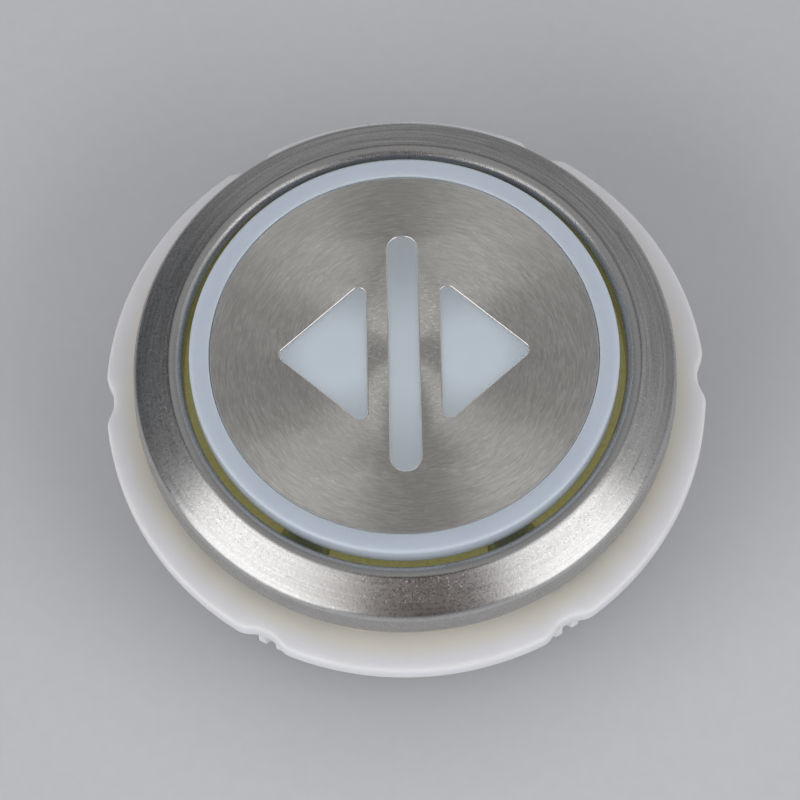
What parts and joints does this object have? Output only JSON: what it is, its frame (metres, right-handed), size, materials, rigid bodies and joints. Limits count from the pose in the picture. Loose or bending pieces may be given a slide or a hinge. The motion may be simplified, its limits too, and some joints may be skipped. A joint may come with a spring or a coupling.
{
  "type": "lift call push button",
  "caption": "Round illuminated panel push button with an open-door symbol in a steel face, halo ring, domed bezel, bayonet retaining ring and sprung cap on a switch.",
  "frame": {"origin": "centre of the bezel's seat on the front face of the panel", "axes": "+Z out of the panel towards the user through the button face, +Y up along the symbol's bar, +X to the user's right"},
  "size_m": [0.047, 0.0472, 0.0205],
  "materials": {
    "face_steel": "circular brushed stainless face, fine arc scratches",
    "bezel_steel": "domed stainless, brushed along the circumference, semi-bright",
    "light_guide": "translucent bluish-white polycarbonate",
    "film": "thin double-sided adhesive film",
    "ring_white": "milky translucent moulded plastic, satin",
    "housing_white": "white moulded plastic, satin",
    "carrier_grey": "dark moulded plastic",
    "cover_black": "black moulded plastic, fine texture",
    "gasket_foam": "closed-cell foam",
    "pad_rubber": "soft black rubber",
    "board_green": "olive solder mask over fibreglass",
    "led_white": "white lamp body with a clear yellowish lens",
    "chip_black": "moulded epoxy",
    "capacitor_can": "drawn can on a black foot",
    "connector_cream": "natural nylon",
    "pin_tin": "tin-plated square pins",
    "screw_zinc": "zinc-plated steel",
    "switch_case": "moulded thermoplastic, satin",
    "plunger_ivory": "ivory acetal",
    "spring_steel": "bright spring wire",
    "contact_brass": "copper-alloy strip"
  },
  "bodies": {
    "housing": {"bezel_ring": "bezel_steel", "panel_gasket": "gasket_foam", "housing_barrel": "housing_white", "carrier_plate": "carrier_grey", "rear_cover": "cover_black", "cover_screws": "screw_zinc", "circuit_board": "board_green", "halo_leds": "led_white", "symbol_leds": "led_white", "resistors": "chip_black", "link_pins": "pin_tin", "link_header": "chip_black", "rear_board": "board_green", "driver_chip": "chip_black", "capacitors": "capacitor_can", "connector_a": "connector_cream", "connector_b": "connector_cream", "connector_pins": "pin_tin", "switch_base": "switch_case", "switch_cover": "switch_case", "switch_blade": "contact_brass", "switch_terminals": "contact_brass", "return_spring_1": "spring_steel", "return_spring_2": "spring_steel", "return_spring_3": "spring_steel", "return_spring_4": "spring_steel"},
    "button": {"button_cap": "light_guide", "face_plate": "face_steel", "plate_film": "film", "actuator_pad": "pad_rubber"},
    "plunger": {"switch_plunger": "plunger_ivory"},
    "locking": {"retaining_ring": "ring_white"}
  },
  "joints": [
    {"name": "cap_press", "type": "slide", "parent": "housing", "child": "button", "axis": [0, 0, -1], "range_m": [0, 0.001], "stiffness_N_per_m": 1500, "springref_m": -0.0015, "deforming": ["return_spring_1", "return_spring_2", "return_spring_3", "return_spring_4"]},
    {"name": "plunger_press", "type": "slide", "parent": "housing", "child": "plunger", "axis": [0, 0, -1], "range_m": [0, 0.001]},
    {"name": "ring_turn", "type": "hinge", "parent": "housing", "child": "locking", "pos_m": [0, 0, 0], "axis": [0, 0, 1], "range_deg": [-45, 0]}
  ],
  "couplings": [
    {"joint": "plunger_press", "follows": "cap_press", "ratio": 1}
  ]
}
